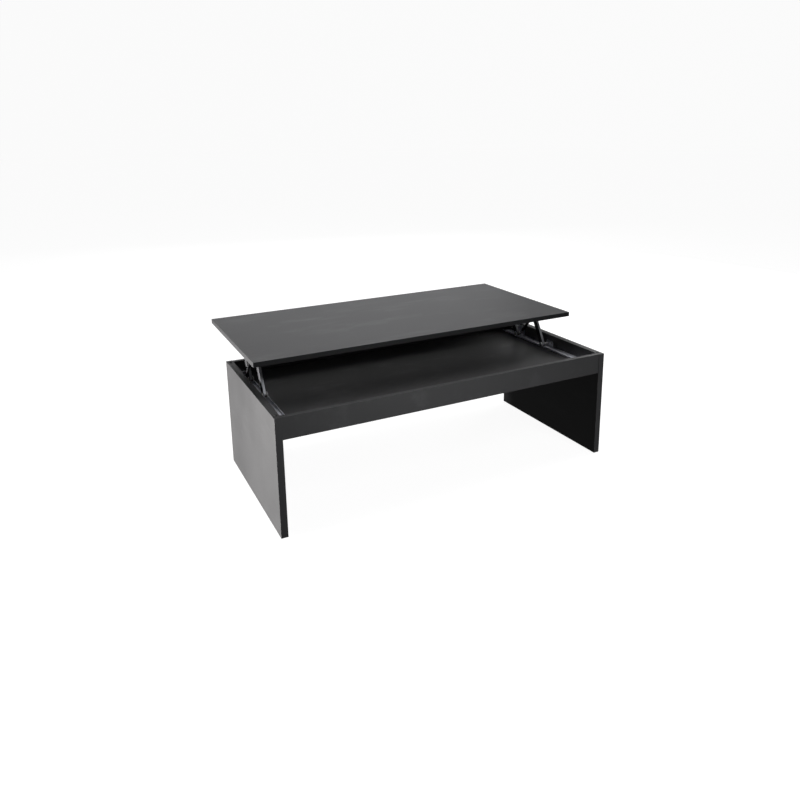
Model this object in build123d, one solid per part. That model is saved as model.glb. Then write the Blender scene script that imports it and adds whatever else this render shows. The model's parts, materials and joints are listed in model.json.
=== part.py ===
from build123d import *
import os
from math import atan2, cos, degrees, hypot, radians, sin

# Lift top coffee table with its top raised. Millimetres.
# X runs along the table, +Y away from the side that opens, +Z up.
# The origin is on the floor, at the centre of the base's footprint.

# ---- Boards ----
table_length = 1200.0
table_depth = 570.0
base_height = 378.0
side_thickness = 22.0
board_thickness = 16.0
rail_height = 70.0
rail_setback = 1.5
tray_below_rim = 44.0
edging_thickness = 1.0
edging_round = 0.5
glide_height = 2.0

# ---- Lift linkage, in the plane across the table ----
arm_length = 131.5
raised_angle = 60.0
closed_angle = 169.0
front_pivot_y = -5.0
rear_pivot_y = 160.0
lid_pivot_drop = 10.0
bumper_height = 1.5
closed_gap = 0.2

# ---- Lift mechanism, measured from the middle of the table outwards ----
plate_thickness = 1.5
ear_x = 539.5
arm_inner_x = 543.0
arm_outer_x = 555.0
spring_x = 565.5
arm_depth = 17.0
arm_wall = 2.0
arm_bend_radius = 2.5
pin_radius = 4.0
running_clearance = 0.05
open_pivot_clearance = 0.25
washer_radius = 7.5
washer_gap = 0.1
pin_head_radius = 6.5
pin_head_height = 2.0
sleeve_radius = 6.0
press_clearance = 0.02
base_plate_front_y = -230.0
base_plate_rear_y = 250.0
plate_bend_radius = 1.0
base_lip_height = 8.0
lip_end_round = 5.0
base_ear_radius = 9.0
ear_foot_round = 3.0
tab_margin = 12.0
tab_corner_round = 6.0
tab_screw_reach = 20.0
tab_screw_margin = 8.0
lid_ear_radius = 10.0
lid_flange_width = 38.0
lid_flange_drop = 6.0
lid_flange_corner_round = 8.0
lid_web_corner_round = 3.0
lid_bracket_overhang = 35.0
coil_radius = 5.5
wire_radius = 0.9
loop_radius = 5.2
hook_reach = 15.0
hook_gap = 0.2
hook_cap_length = 2.0
spring_keeper_thickness = 1.2
stop_along = 30.0
stop_sleeve_radius = 5.5
stop_pin_radius = 3.0
stop_gap = 0.3

# ---- Screws, dowels and cam fittings ----
dowel_radius = 4.0
dowel_length = 30.0
hole_clearance = 0.05
cam_head_clearance = 0.2
cam_radius = 7.5
cam_depth = 12.5
cam_inset = 24.0
cam_bolt_radius = 3.0
cam_bolt_head_radius = 3.6
cam_bolt_head_length = 3.0
cam_bolt_bite = 11.0
cam_cover_radius = 9.0
cam_cover_height = 0.8
screw_radius = 1.75
screw_head_radius = 3.5
screw_head_height = 2.0
plate_hole_radius = 2.1
screw_bite = 12.0
head_round = 0.6
cut_over = 1.0
edge_tolerance = 0.1
floor_screw_offset = 1.5
floor_screw_ys = [-215.0, -100.0, 75.0, 235.0]
side_screw_lift = 4.0
lid_screw_short_reach = 22.0
lid_screw_long_reach = 30.0

# ---- Derived places ----
half_length = table_length / 2
half_depth = table_depth / 2
side_inner_x = half_length - side_thickness
rail_outer_y = half_depth - rail_setback
rail_inner_y = rail_outer_y - board_thickness
rail_bottom_z = base_height - rail_height
tray_top_z = base_height - tray_below_rim
tray_bottom_z = tray_top_z - board_thickness
tray_middle_z = tray_top_z - board_thickness / 2
lid_closed_z = base_height + bumper_height + closed_gap
base_pivot_z = lid_closed_z - lid_pivot_drop - arm_length * sin(radians(closed_angle))
lid_pivot_z = base_pivot_z + arm_length * sin(radians(raised_angle))
lid_pivot_shift = arm_length * cos(radians(raised_angle))
lid_bottom_z = lid_pivot_z + lid_pivot_drop
lid_top_z = lid_bottom_z + board_thickness
lid_shift_y = arm_length * (cos(radians(raised_angle)) - cos(radians(closed_angle)))
front_lid_pivot_y = front_pivot_y + lid_pivot_shift
rear_lid_pivot_y = rear_pivot_y + lid_pivot_shift
plate_floor_z = tray_top_z + plate_thickness
flange_inner_x = side_inner_x - plate_thickness
ear_outer_x = ear_x + plate_thickness
washer_outer_x = arm_outer_x + washer_gap

os.makedirs("parts", exist_ok=True)


def block(x, y, z):
    """A box from (low, high) pairs."""
    middle = Pos((x[0] + x[1]) / 2, (y[0] + y[1]) / 2, (z[0] + z[1]) / 2)
    return middle * Box(x[1] - x[0], y[1] - y[0], z[1] - z[0])


def rod_x(radius, x, y, z):
    """A round bar along X, from x[0] to x[1]."""
    return Pos((x[0] + x[1]) / 2, y, z) * Rot(0, 90, 0) * Cylinder(radius, x[1] - x[0])


def rod_y(radius, x, y, z):
    """A round bar along Y, from y[0] to y[1]."""
    return Pos(x, (y[0] + y[1]) / 2, z) * Rot(90, 0, 0) * Cylinder(radius, y[1] - y[0])


def rod_z(radius, x, y, z):
    """A round bar along Z, from z[0] to z[1]."""
    return Pos(x, y, (z[0] + z[1]) / 2) * Cylinder(radius, z[1] - z[0])


def tube_x(outer, inner, x, y, z):
    """A tube along X."""
    return rod_x(outer, x, y, z) - rod_x(inner, x, y, z)


def on_left(shape):
    """The mirrored copy for the table's left side."""
    return mirror(shape, about=Plane.YZ)


def both_sides(shapes):
    """Right-hand shapes and their left-hand copies."""
    return list(shapes) + [on_left(shape) for shape in shapes]


def save(node, shapes):
    """Writes one node, which may hold several separate solids."""
    solids = [solid for shape in shapes for solid in shape.solids()]
    whole = solids[0] if len(solids) == 1 else Compound(solids)
    export_step(whole, f"parts/{node}.step")


def save_pair(node, shape):
    """Writes a right-hand node and its left-hand copy."""
    save(f"{node}_right", [shape])
    save(f"{node}_left", [on_left(shape)])


def drilled(board, tools):
    """A board with every tool's space cut out of it."""
    for tool in tools:
        board = board - tool
    return board


# ---- Cam fittings ----
# A bolt screws into the side panel and its head is pulled in by a round cam
# let into the board that meets the panel.
cam_x = side_inner_x - cam_inset


def cam_bolt(y, z):
    """A bolt along X, half in the right-hand side panel."""
    shank = rod_x(cam_bolt_radius, (cam_x, side_inner_x + cam_bolt_bite), y, z)
    head = rod_x(cam_bolt_head_radius, (cam_x, cam_x + cam_bolt_head_length), y, z)
    return shank + head


def cam_bolt_bore(y, z):
    """The hole a bolt needs, wide in the board and tight in the panel."""
    wide = rod_x(dowel_radius, (cam_x, side_inner_x), y, z)
    tight_radius = cam_bolt_radius + hole_clearance
    tight = rod_x(tight_radius, (side_inner_x, side_inner_x + cam_bolt_bite), y, z)
    return wide + tight


def cam_slot(y, z):
    """The space the bolt's head and neck take up in a cam."""
    reach = (cam_x - cam_head_clearance, cam_x + cam_radius + cut_over)
    return rod_x(cam_bolt_head_radius + cam_head_clearance, reach, y, z)


rail_cam_z = tray_top_z + tray_below_rim / 2
rail_dowel_z = tray_middle_z
rail_middle_y = rail_outer_y - board_thickness / 2
rail_ends = [-rail_middle_y, rail_middle_y]
tray_cam_ys = [-180.0, 180.0]
tray_dowel_ys = [-120.0, 120.0]


def rail_cam(y, radius):
    """A cam set into a rail's inner face."""
    inward = -1 if y > 0 else 1
    face_y = y + inward * board_thickness / 2
    span = sorted([face_y, face_y - inward * cam_depth])
    return rod_y(radius, cam_x, span, rail_cam_z)


def rail_cam_cover(y):
    """The thin cap stuck over a rail's cam."""
    inward = -1 if y > 0 else 1
    face_y = y + inward * board_thickness / 2
    span = sorted([face_y, face_y + inward * cam_cover_height])
    cover = rod_y(cam_cover_radius, cam_x, span, rail_cam_z)
    rim = cover.edges().group_by(Axis.Y)[0 if inward < 0 else -1]
    return fillet(rim, cam_cover_height / 2)


def tray_cam(y, radius):
    """A cam set into the tray's underside."""
    return rod_z(radius, cam_x, y, (tray_bottom_z, tray_bottom_z + cam_depth))


def dowel_x(y, z, extra=0.0):
    """A dowel half in the right-hand side panel."""
    reach = dowel_length / 2 + extra
    return rod_x(dowel_radius + extra, (side_inner_x - reach, side_inner_x + reach), y, z)


rail_bolts = [cam_bolt(y, rail_cam_z) for y in rail_ends]
tray_bolts = [cam_bolt(y, tray_middle_z) for y in tray_cam_ys]
rail_bolt_bores = [cam_bolt_bore(y, rail_cam_z) for y in rail_ends]
tray_bolt_bores = [cam_bolt_bore(y, tray_middle_z) for y in tray_cam_ys]
rail_cams = [rail_cam(y, cam_radius) - cam_slot(y, rail_cam_z) for y in rail_ends]
tray_cams = [tray_cam(y, cam_radius) - cam_slot(y, tray_middle_z) for y in tray_cam_ys]
rail_cam_bores = [rail_cam(y, cam_radius + hole_clearance) for y in rail_ends]
tray_cam_bores = [tray_cam(y, cam_radius + hole_clearance) for y in tray_cam_ys]
side_dowels = [dowel_x(y, rail_dowel_z) for y in rail_ends]
side_dowels += [dowel_x(y, tray_middle_z) for y in tray_dowel_ys]
side_dowel_bores = [dowel_x(y, rail_dowel_z, hole_clearance) for y in rail_ends]
side_dowel_bores += [dowel_x(y, tray_middle_z, hole_clearance) for y in tray_dowel_ys]

# ---- Dowels between the tray and the rails ----
rail_dowel_xs = [-400.0, 0.0, 400.0]
rail_dowel_bite = 10.0


def tray_dowel(x, way, extra=0.0):
    """A dowel from the tray into the rail on the way side, -1 or +1."""
    outer = rail_inner_y + rail_dowel_bite + extra
    inner = rail_inner_y + rail_dowel_bite - dowel_length - extra
    return rod_y(dowel_radius + extra, x, sorted([way * outer, way * inner]), tray_middle_z)


rail_dowels = [tray_dowel(x, way) for x in rail_dowel_xs for way in (-1, 1)]
rail_dowel_bores = [tray_dowel(x, way, hole_clearance) for x in rail_dowel_xs for way in (-1, 1)]

# ---- Lift mechanism, right-hand side ----
# The stop sits behind the rear arm, where it leans on it when the top is up.
stop_offset = arm_depth / 2 + stop_sleeve_radius + stop_gap
stop_y = rear_pivot_y + stop_along * cos(radians(raised_angle))
stop_y += stop_offset * sin(radians(raised_angle))
stop_z = base_pivot_z + stop_along * sin(radians(raised_angle))
stop_z -= stop_offset * cos(radians(raised_angle))

floor_screw_x = spring_x + floor_screw_offset
side_screw_z = base_pivot_z + side_screw_lift
side_screw_ys = [front_pivot_y - tab_screw_reach, stop_y + tab_screw_reach]
lid_screw_x = ear_x - lid_flange_width / 2
lid_screw_ys = [front_lid_pivot_y - lid_screw_short_reach, front_lid_pivot_y + lid_screw_long_reach]
lid_screw_ys += [rear_lid_pivot_y - lid_screw_long_reach, rear_lid_pivot_y + lid_screw_short_reach]


def screw_z(x, y, face_z, way):
    """A pan head screw, its head on the side of face_z that way points to."""
    shank = rod_z(screw_radius, x, y, sorted([face_z, face_z - way * screw_bite]))
    head = rod_z(screw_head_radius, x, y, sorted([face_z, face_z + way * screw_head_height]))
    rim = head.edges().group_by(Axis.Z)[-1 if way > 0 else 0]
    return shank + fillet(rim, screw_head_height * head_round)


def screw_z_bore(x, y, face_z, way):
    """The pilot hole of such a screw."""
    reach = sorted([face_z, face_z - way * (screw_bite + hole_clearance)])
    return rod_z(screw_radius + hole_clearance, x, y, reach)


def side_screw(y):
    """A pan head screw through a base plate's tab into the side panel."""
    shank = rod_x(screw_radius, (flange_inner_x, flange_inner_x + screw_bite), y, side_screw_z)
    span = (flange_inner_x - screw_head_height, flange_inner_x)
    head = rod_x(screw_head_radius, span, y, side_screw_z)
    return shank + fillet(head.edges().group_by(Axis.X)[0], screw_head_height * head_round)


def side_screw_bore(y):
    """The pilot hole of such a screw."""
    reach = (flange_inner_x, flange_inner_x + screw_bite + hole_clearance)
    return rod_x(screw_radius + hole_clearance, reach, y, side_screw_z)


floor_screws = [screw_z(floor_screw_x, y, plate_floor_z, 1) for y in floor_screw_ys]
floor_screw_bores = [screw_z_bore(floor_screw_x, y, plate_floor_z, 1) for y in floor_screw_ys]
side_screws = [side_screw(y) for y in side_screw_ys]
side_screw_bores = [side_screw_bore(y) for y in side_screw_ys]
bracket_face_z = lid_bottom_z - plate_thickness
lid_screws = [screw_z(lid_screw_x, y, bracket_face_z, -1) for y in lid_screw_ys]
lid_screw_bores = [screw_z_bore(lid_screw_x, y, bracket_face_z, -1) for y in lid_screw_ys]


def bent_angle(x, y, floor_z, wall_x, wall_z):
    """Sheet steel bent along Y into a flat floor and a wall standing on or hanging from it."""
    angle = block(x, y, floor_z) + block(wall_x, y, wall_z)
    standing = wall_z[1] > floor_z[1]
    corner_z = floor_z[0] if standing else floor_z[1]
    corner_x = wall_x[0] if wall_x[0] == x[0] else wall_x[1]
    middle_y = (y[0] + y[1]) / 2
    bend = angle.edges().filter_by(Axis.Y).sort_by_distance((corner_x, middle_y, corner_z))[0]
    angle = fillet(bend, plate_thickness + plate_bend_radius)
    crook_z = floor_z[1] if standing else floor_z[0]
    crook_x = wall_x[1] if wall_x[0] == x[0] else wall_x[0]
    crook = angle.edges().filter_by(Axis.Y).sort_by_distance((crook_x, middle_y, crook_z))[0]
    return fillet(crook, plate_bend_radius)


def ear(y, z, radius, root_z):
    """A rounded lug that reaches from the edge of a wall at root_z to round a pivot."""
    round_end = rod_x(radius, (ear_x, ear_outer_x), y, z)
    stem = block((ear_x, ear_outer_x), (y - radius, y + radius), sorted([root_z, z]))
    return round_end + stem


def with_ears(plate, ear_ys, z, radius, root_z):
    """A plate with its ears added, their feet blended in and their pivots drilled."""
    for y in ear_ys:
        plate = plate + ear(y, z, radius, root_z)
    near_root = (root_z - edge_tolerance, root_z + edge_tolerance)
    feet = plate.edges().filter_by(Axis.X).filter_by_position(Axis.Z, *near_root)
    ear_sides = [y + way * radius for y in ear_ys for way in (-1, 1)]
    feet = [e for e in feet if min(abs(e.center().Y - side) for side in ear_sides) < edge_tolerance]
    plate = fillet(feet, ear_foot_round)
    for y in ear_ys:
        plate = plate - rod_x(pin_radius, (ear_x - cut_over, ear_outer_x + cut_over), y, z)
    return plate


def base_tab(run, top_z):
    """A tab bent up from the floor flange against the side panel."""
    tab = block((flange_inner_x, side_inner_x), run, (tray_top_z, top_z))
    return fillet(tab.edges().filter_by(Axis.X).group_by(Axis.Z)[-1], tab_corner_round)


def base_plate():
    """A bent steel plate: floor flange, inner lip with two ears, and two outer tabs."""
    run = (base_plate_front_y, base_plate_rear_y)
    lip_top_z = tray_top_z + base_lip_height
    plate = bent_angle(
        (ear_x, side_inner_x),
        run,
        (tray_top_z, plate_floor_z),
        (ear_x, ear_outer_x),
        (tray_top_z, lip_top_z),
    )
    lip_ends = plate.edges().filter_by(Axis.X).group_by(Axis.Z)[-1]
    plate = fillet(lip_ends, lip_end_round)
    pivot_ys = (front_pivot_y, rear_pivot_y)
    plate = with_ears(plate, pivot_ys, base_pivot_z, base_ear_radius, lip_top_z)
    front_tab = (side_screw_ys[0] - tab_screw_margin, front_pivot_y + tab_margin)
    rear_tab = (rear_pivot_y - tab_margin, side_screw_ys[1] + tab_screw_margin)
    plate = plate + base_tab(front_tab, base_pivot_z + tab_margin)
    plate = plate + base_tab(rear_tab, stop_z + tab_screw_margin)
    through = (flange_inner_x - cut_over, side_inner_x + cut_over)
    for y in pivot_ys:
        plate = plate - rod_x(pin_radius, through, y, base_pivot_z)
    plate = plate - rod_x(stop_pin_radius, through, stop_y, stop_z)
    for y in side_screw_ys:
        plate = plate - rod_x(plate_hole_radius, through, y, side_screw_z)
    span = (tray_top_z - cut_over, plate_floor_z + cut_over)
    for y in floor_screw_ys:
        plate = plate - rod_z(plate_hole_radius, floor_screw_x, y, span)
    return plate


def lid_bracket():
    """A bent steel angle under the top, with two ears that hang from it."""
    run = (front_lid_pivot_y - lid_bracket_overhang, rear_lid_pivot_y + lid_bracket_overhang)
    web_bottom_z = lid_bottom_z - lid_flange_drop
    bracket = bent_angle(
        (ear_outer_x - lid_flange_width, ear_outer_x),
        run,
        (lid_bottom_z - plate_thickness, lid_bottom_z),
        (ear_x, ear_outer_x),
        (web_bottom_z, lid_bottom_z),
    )
    flange_corners = bracket.edges().filter_by(Axis.Z).group_by(Axis.X)[0]
    bracket = fillet(flange_corners, lid_flange_corner_round)
    web_corners = bracket.edges().filter_by(Axis.X).group_by(Axis.Z)[0]
    bracket = fillet(web_corners, lid_web_corner_round)
    pivot_ys = (front_lid_pivot_y, rear_lid_pivot_y)
    bracket = with_ears(bracket, pivot_ys, lid_pivot_z, lid_ear_radius, web_bottom_z)
    span = (bracket_face_z - cut_over, lid_bottom_z + cut_over)
    for y in lid_screw_ys:
        bracket = bracket - rod_z(plate_hole_radius, lid_screw_x, y, span)
    return bracket


def arm(pivot_y):
    """A pressed steel channel arm with round ends, open at its back."""
    half = arm_depth / 2
    middle_x = (arm_inner_x + arm_outer_x) / 2
    width = arm_outer_x - arm_inner_x
    outline = rod_x(half, (arm_inner_x, arm_outer_x), 0, 0)
    outline += rod_x(half, (arm_inner_x, arm_outer_x), arm_length, 0)
    outline += block((arm_inner_x, arm_outer_x), (0, arm_length), (-half, half))
    run = (-half, arm_length + half)
    bar = block((arm_inner_x, arm_outer_x), run, (-half, half))
    bends = bar.edges().filter_by(Axis.Y).group_by(Axis.Z)[-1]
    bar = fillet(bends, arm_bend_radius)
    hollow_width = width - 2 * arm_wall
    hollow_x = (middle_x - hollow_width / 2, middle_x + hollow_width / 2)
    hollow_run = (-half - cut_over, arm_length + half + cut_over)
    hollow = block(hollow_x, hollow_run, (-half - cut_over, half - arm_wall))
    shape = (bar & outline) - hollow
    for y in (0, arm_length):
        reach = (arm_inner_x - cut_over, arm_outer_x + cut_over)
        shape = shape - rod_x(sleeve_radius + press_clearance, reach, y, 0)
    return Pos(0, pivot_y, base_pivot_z) * Rot(raised_angle, 0, 0) * shape


def arm_sleeves(pivot_y, far_clearance):
    """The bearing sleeves at an arm's two pivots."""
    reach = (arm_inner_x, arm_outer_x)
    near_bore = pin_radius + running_clearance
    far_bore = pin_radius + far_clearance
    near = tube_x(sleeve_radius, near_bore, reach, pivot_y, base_pivot_z)
    far = tube_x(sleeve_radius, far_bore, reach, pivot_y + lid_pivot_shift, lid_pivot_z)
    return [near, far]


def pin_heads(y, z, outer_span):
    """A pin's rivet head inside the ear and its shoulder or head outside the arm."""
    rivet = rod_x(pin_head_radius, (ear_x - pin_head_height, ear_x), y, z)
    rivet = fillet(rivet.edges().group_by(Axis.X)[0], pin_head_height * head_round)
    return rivet + rod_x(pin_head_radius, outer_span, y, z)


washer_thickness = arm_inner_x - ear_outer_x - 2 * washer_gap
shoulder_x = washer_outer_x + washer_thickness + washer_gap
shoulder_span = (shoulder_x, shoulder_x + pin_head_height)
spring_pin_end_x = spring_x + coil_radius


def base_pin(y):
    """A lower pivot pin, riveted through the plate's ear and the tab across from it."""
    shank = rod_x(pin_radius, (ear_x, side_inner_x), y, base_pivot_z)
    return shank + pin_heads(y, base_pivot_z, shoulder_span)


def lid_pin(y, end_x):
    """An upper pivot pin. The front one runs on to carry the spring."""
    shank = rod_x(pin_radius, (ear_x, end_x), y, lid_pivot_z)
    return shank + pin_heads(y, lid_pivot_z, shoulder_span)


def washers(y, z):
    """The nylon washers each side of an arm."""
    bore = pin_radius + hole_clearance
    inner = (ear_outer_x + washer_gap, ear_outer_x + washer_gap + washer_thickness)
    outer = (washer_outer_x, washer_outer_x + washer_thickness)
    return [tube_x(washer_radius, bore, span, y, z) for span in (inner, outer)]


base_pins = [base_pin(y) for y in (front_pivot_y, rear_pivot_y)]
front_lid_pin = lid_pin(front_lid_pivot_y, spring_pin_end_x)
keeper_x = (spring_pin_end_x, spring_pin_end_x + spring_keeper_thickness)
front_lid_pin += rod_x(sleeve_radius, keeper_x, front_lid_pivot_y, lid_pivot_z)
lid_pins = [front_lid_pin, lid_pin(rear_lid_pivot_y, shoulder_span[1])]
base_washers = washers(front_pivot_y, base_pivot_z) + washers(rear_pivot_y, base_pivot_z)
lid_washers = washers(front_lid_pivot_y, lid_pivot_z) + washers(rear_lid_pivot_y, lid_pivot_z)
stop_pin = rod_x(stop_pin_radius, (arm_inner_x, side_inner_x), stop_y, stop_z)
stop_span = (arm_inner_x, arm_outer_x)
stop_sleeve = tube_x(stop_sleeve_radius, stop_pin_radius, stop_span, stop_y, stop_z)

# ---- Tension spring ----
# It runs from the rear lower pin to the front upper pin, shortest with the top up.
spring_rise = lid_pivot_z - base_pivot_z
spring_run = front_lid_pivot_y - rear_pivot_y
spring_length = hypot(spring_rise, spring_run)
spring_angle = degrees(atan2(spring_rise, spring_run))
coil_length = spring_length - 2 * hook_reach


def along_spring(shape):
    """Places a shape made along +Y at the spring's lower end on the spring's line."""
    return Pos(spring_x, rear_pivot_y, base_pivot_z) * Rot(spring_angle, 0, 0) * shape


def spring_loop(y):
    """The round eye at one end of the spring."""
    return Pos(0, y, 0) * Rot(0, 90, 0) * Torus(loop_radius, wire_radius)


lower_stem = rod_y(wire_radius, 0, (loop_radius, hook_reach + hook_cap_length / 2), 0)
coil = rod_y(coil_radius, 0, (hook_reach, hook_reach + coil_length), 0)
core_radius = coil_radius - 2 * wire_radius
coil -= rod_y(core_radius, 0, (hook_reach + hook_cap_length, hook_reach + coil_length), 0)
spring_coil = along_spring(spring_loop(0) + lower_stem + coil)
upper_start = hook_reach + coil_length + hook_gap
upper_cap = rod_y(coil_radius, 0, (upper_start, upper_start + hook_cap_length), 0)
stem_start = upper_start + hook_cap_length / 2
upper_stem = rod_y(wire_radius, 0, (stem_start, spring_length - loop_radius), 0)
spring_hook = along_spring(spring_loop(spring_length) + upper_stem + upper_cap)

# ---- Base boards ----
side_core = block(
    (side_inner_x, half_length),
    (-half_depth + edging_thickness, half_depth - edging_thickness),
    (glide_height, base_height - edging_thickness),
)
side_bores = rail_bolt_bores + tray_bolt_bores + side_dowel_bores + side_screw_bores
glide_inset = 45.0
glide_nail_radius = 1.2
glide_nail_length = 14.0
side_middle_x = half_length - side_thickness / 2
glide_ys = [-half_depth + glide_inset, half_depth - glide_inset]
nail_span = (glide_height, glide_height + glide_nail_length)
nail_bores = [rod_z(glide_nail_radius, side_middle_x, y, nail_span) for y in glide_ys]
save_pair("side_panel", drilled(side_core, side_bores + nail_bores))


def rounded_strip(x, y, z, outward):
    """An edging strip whose two long outer edges are rounded."""
    strip = block(x, y, z)
    long_axis = max((Axis.X, Axis.Y, Axis.Z), key=lambda a: strip.bounding_box().size.dot(a.direction))
    outer = strip.faces().sort_by(outward)[-1]
    return fillet(outer.edges().filter_by(long_axis), edging_round)


side_span_x = (side_inner_x, half_length)
low_y = (-half_depth, -half_depth + edging_thickness)
high_y = (half_depth - edging_thickness, half_depth)
upright_z = (glide_height, base_height - edging_thickness)
top_z = (base_height - edging_thickness, base_height)
towards_front = Axis((0, 0, 0), (0, -1, 0))
downwards = Axis((0, 0, 0), (0, 0, -1))
side_edging = [
    rounded_strip(side_span_x, low_y, upright_z, towards_front),
    rounded_strip(side_span_x, high_y, upright_z, Axis.Y),
    rounded_strip(side_span_x, (-half_depth, half_depth), top_z, Axis.Z),
]
save("side_panel_edging_right", side_edging)
save("side_panel_edging_left", [on_left(strip) for strip in side_edging])

rail_x = (-side_inner_x, side_inner_x)
rail_core_z = (rail_bottom_z + edging_thickness, base_height - edging_thickness)
rail_lower_z = (rail_bottom_z, rail_bottom_z + edging_thickness)
rail_bores = both_sides(rail_bolt_bores + rail_cam_bores + side_dowel_bores) + rail_dowel_bores
for rail, rail_y in (
    ("front_rail", (-rail_outer_y, -rail_inner_y)),
    ("rear_rail", (rail_inner_y, rail_outer_y)),
):
    save(rail, [drilled(block(rail_x, rail_y, rail_core_z), rail_bores)])
    upper = rounded_strip(rail_x, rail_y, top_z, Axis.Z)
    lower = rounded_strip(rail_x, rail_y, rail_lower_z, downwards)
    save(f"{rail}_edging", [upper, lower])

tray = block(rail_x, (-rail_inner_y, rail_inner_y), (tray_bottom_z, tray_top_z))
tray_side_bores = tray_bolt_bores + tray_cam_bores + side_dowel_bores + floor_screw_bores
save("tray_bottom", [drilled(tray, both_sides(tray_side_bores) + rail_dowel_bores)])

# ---- Fittings of the base ----
save("rail_cam_bolts", both_sides(rail_bolts))
save("tray_cam_bolts", both_sides(tray_bolts))
save("rail_cam_locks", both_sides(rail_cams))
save("tray_cam_locks", both_sides(tray_cams))
save("rail_cam_covers", both_sides([rail_cam_cover(y) for y in rail_ends]))
save("side_dowels", both_sides(side_dowels))
save("rail_dowels", rail_dowels)

glide_radius = 9.0
bumper_radius = 5.0
bumper_inset = 22.0


def glide(y):
    """A nail-on glide under a side panel."""
    foot = rod_z(glide_radius, side_middle_x, y, (0, glide_height))
    foot = fillet(foot.edges().group_by(Axis.Z)[0], glide_height / 2)
    return foot + rod_z(glide_nail_radius, side_middle_x, y, nail_span)


def bumper(y):
    """A stick-on dot that the closed top rests on."""
    dot = rod_z(bumper_radius, side_middle_x, y, (base_height, base_height + bumper_height))
    return fillet(dot.edges().group_by(Axis.Z)[-1], bumper_height * head_round)


bumper_ys = [-half_depth + bumper_inset, half_depth - bumper_inset]
save("foot_glides", both_sides([glide(y) for y in glide_ys]))
save("lid_bumpers", both_sides([bumper(y) for y in bumper_ys]))

# ---- Lift mechanism ----
save_pair("base_plate", base_plate())
save("base_plate_floor_screws", both_sides(floor_screws))
save("base_plate_side_screws", both_sides(side_screws))
for side, place in (("right", lambda shape: shape), ("left", on_left)):
    save(f"base_pivot_pins_{side}", [place(pin) for pin in base_pins])
    save(f"lid_pivot_pins_{side}", [place(pin) for pin in lid_pins])
save("base_pivot_washers", both_sides(base_washers))
save("lid_pivot_washers", both_sides(lid_washers))
save("stop_pins", both_sides([stop_pin]))
save("stop_sleeves", both_sides([stop_sleeve]))
save_pair("front_arm", arm(front_pivot_y))
save_pair("rear_arm", arm(rear_pivot_y))
save("front_arm_sleeves", both_sides(arm_sleeves(front_pivot_y, running_clearance)))
save("rear_arm_sleeves", both_sides(arm_sleeves(rear_pivot_y, open_pivot_clearance)))
save_pair("lid_bracket", lid_bracket())
save("lid_bracket_screws", both_sides(lid_screws))
save_pair("spring_coil", spring_coil)
save_pair("spring_hook", spring_hook)

# ---- Lifting top ----
lid_front_y = -half_depth + lid_shift_y
lid_rear_y = half_depth + lid_shift_y
lid_z = (lid_bottom_z, lid_top_z)
lid_core_x = (-half_length + edging_thickness, half_length - edging_thickness)
lid_core_y = (lid_front_y + edging_thickness, lid_rear_y - edging_thickness)
lid_full_x = (-half_length, half_length)
lid_core = block(lid_core_x, lid_core_y, lid_z)
save("lid_panel", [drilled(lid_core, both_sides(lid_screw_bores))])
front_strip_y = (lid_front_y, lid_core_y[0])
rear_strip_y = (lid_core_y[1], lid_rear_y)
save("lid_edging_front", [rounded_strip(lid_full_x, front_strip_y, lid_z, towards_front)])
save("lid_edging_rear", [rounded_strip(lid_full_x, rear_strip_y, lid_z, Axis.Y)])
end_strip_x = (lid_core_x[1], half_length)
save_pair("lid_edging", rounded_strip(end_strip_x, lid_core_y, lid_z, Axis.X))
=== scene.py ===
import bpy
import json
import math
from mathutils import Matrix, Vector


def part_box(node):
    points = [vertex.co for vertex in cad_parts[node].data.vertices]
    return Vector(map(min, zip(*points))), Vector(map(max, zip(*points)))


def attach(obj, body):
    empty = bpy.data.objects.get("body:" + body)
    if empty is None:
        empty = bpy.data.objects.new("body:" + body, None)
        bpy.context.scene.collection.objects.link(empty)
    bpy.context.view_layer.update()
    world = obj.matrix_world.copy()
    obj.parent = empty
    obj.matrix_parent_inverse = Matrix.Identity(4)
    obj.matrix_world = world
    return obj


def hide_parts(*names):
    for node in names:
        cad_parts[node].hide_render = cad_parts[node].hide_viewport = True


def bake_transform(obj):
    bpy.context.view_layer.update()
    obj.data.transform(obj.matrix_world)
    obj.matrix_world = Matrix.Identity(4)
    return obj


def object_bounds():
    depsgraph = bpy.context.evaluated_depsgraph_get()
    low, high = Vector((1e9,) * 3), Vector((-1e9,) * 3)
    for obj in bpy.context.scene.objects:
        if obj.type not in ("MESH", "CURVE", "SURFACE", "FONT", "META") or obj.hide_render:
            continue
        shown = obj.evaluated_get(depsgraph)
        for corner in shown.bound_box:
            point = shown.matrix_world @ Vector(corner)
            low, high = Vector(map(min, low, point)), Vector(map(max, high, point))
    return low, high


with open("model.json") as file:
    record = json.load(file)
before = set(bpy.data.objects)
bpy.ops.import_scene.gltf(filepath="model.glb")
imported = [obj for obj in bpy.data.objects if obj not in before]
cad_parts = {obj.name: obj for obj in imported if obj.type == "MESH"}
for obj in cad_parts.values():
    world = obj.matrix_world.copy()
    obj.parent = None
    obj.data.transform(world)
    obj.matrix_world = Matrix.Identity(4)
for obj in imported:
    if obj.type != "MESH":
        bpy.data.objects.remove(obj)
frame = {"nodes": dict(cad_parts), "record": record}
cad_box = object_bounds()

# ---------------------------------------------------------------------------
# Side panels. Two 22 mm particleboard sheets under charcoal melamine, pressed
# with a fine pearl grain, stand on edge as the table's legs.
# ---------------------------------------------------------------------------


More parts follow.
